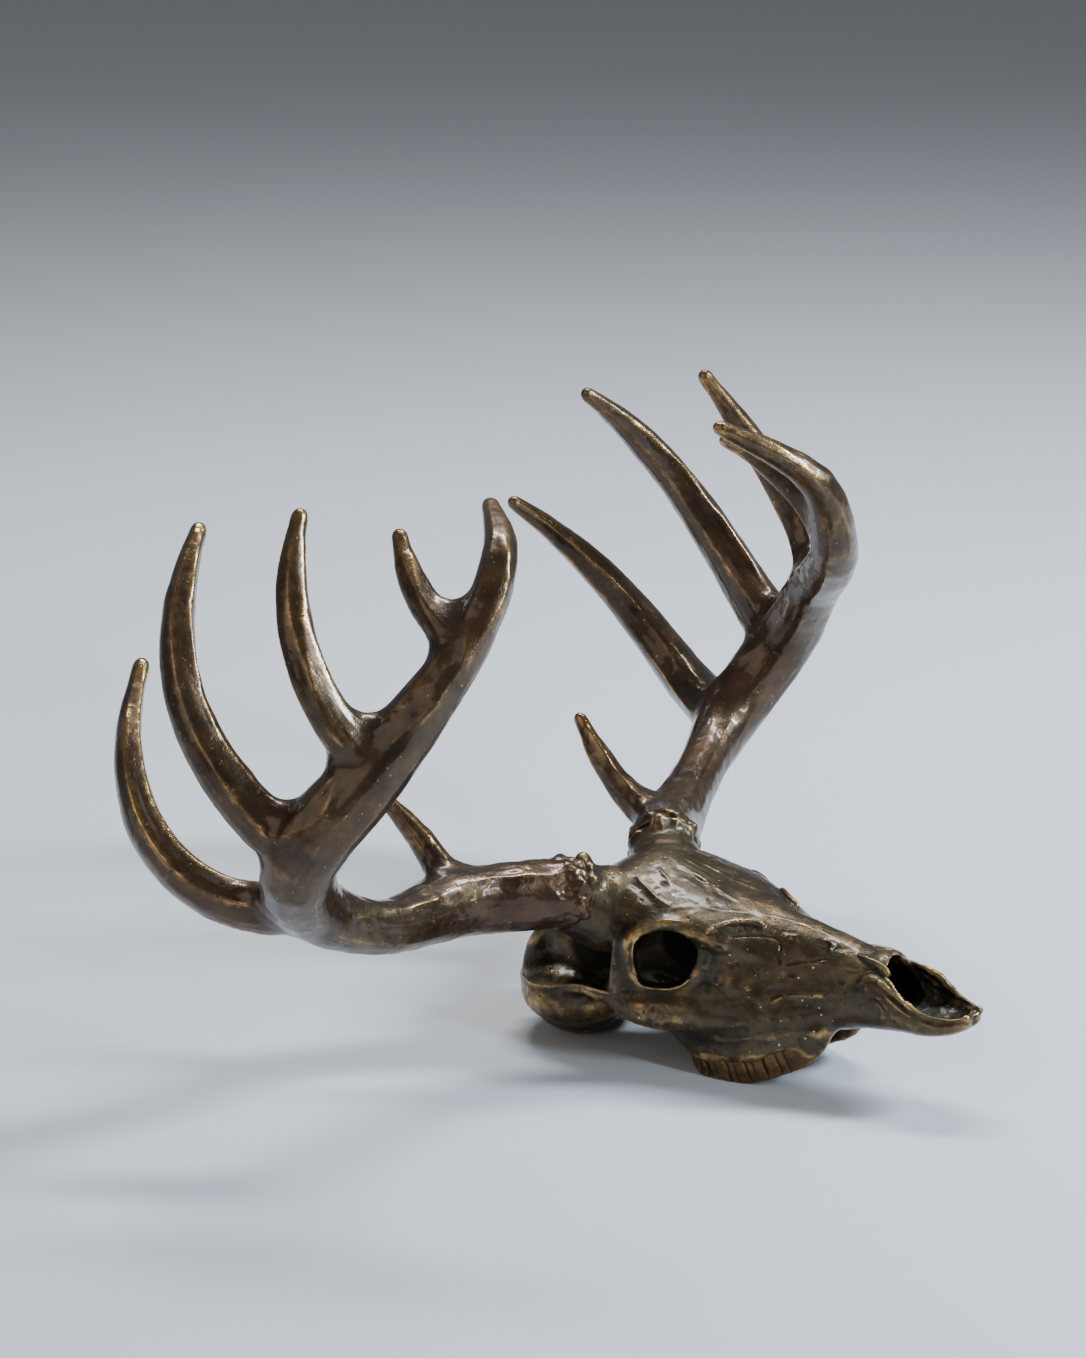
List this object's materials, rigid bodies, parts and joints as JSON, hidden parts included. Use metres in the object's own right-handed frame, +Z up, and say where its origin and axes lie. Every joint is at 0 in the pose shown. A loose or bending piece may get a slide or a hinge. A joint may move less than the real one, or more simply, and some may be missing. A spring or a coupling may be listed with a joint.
{
  "type": "bronze deer skull sculpture",
  "caption": "Life-size cast bronze sculpture of a deer skull without its lower jaw, with a full pair of branching antlers, resting on its upper teeth and braincase.",
  "frame": {"origin": "on the floor, below the middle of the box round the whole cast", "axes": "+X runs forward to the snout, +Y to the skull's own left side, +Z up; the length unit is the metre"},
  "size_m": [0.4377, 0.5486, 0.3479],
  "materials": {
    "skull": "cast bronze, waxed dark-brown patina, satin gloss",
    "teeth": "cast bronze, lighter golden-brown patina",
    "antler": "cast bronze, waxed dark-brown patina with golden worn ridges"
  },
  "bodies": {
    "root": {"braincase": "skull", "brow": "skull", "face": "skull", "muzzle": "skull", "teeth_left": "teeth", "teeth_right": "teeth", "antler_left_beam_base": "antler", "antler_left_beam_lower": "antler", "antler_left_beam_fork": "antler", "antler_left_beam_middle": "antler", "antler_left_beam_top": "antler", "antler_left_brow_tine": "antler", "antler_left_second_tine": "antler", "antler_left_third_tine": "antler", "antler_left_fourth_tine": "antler", "antler_left_fifth_tine": "antler", "antler_right_beam_base": "antler", "antler_right_beam_lower": "antler", "antler_right_beam_fork": "antler", "antler_right_beam_middle": "antler", "antler_right_beam_top": "antler", "antler_right_brow_tine": "antler", "antler_right_second_tine": "antler", "antler_right_third_tine": "antler", "antler_right_fourth_tine": "antler", "antler_right_fifth_tine": "antler"}
  },
  "joints": []
}
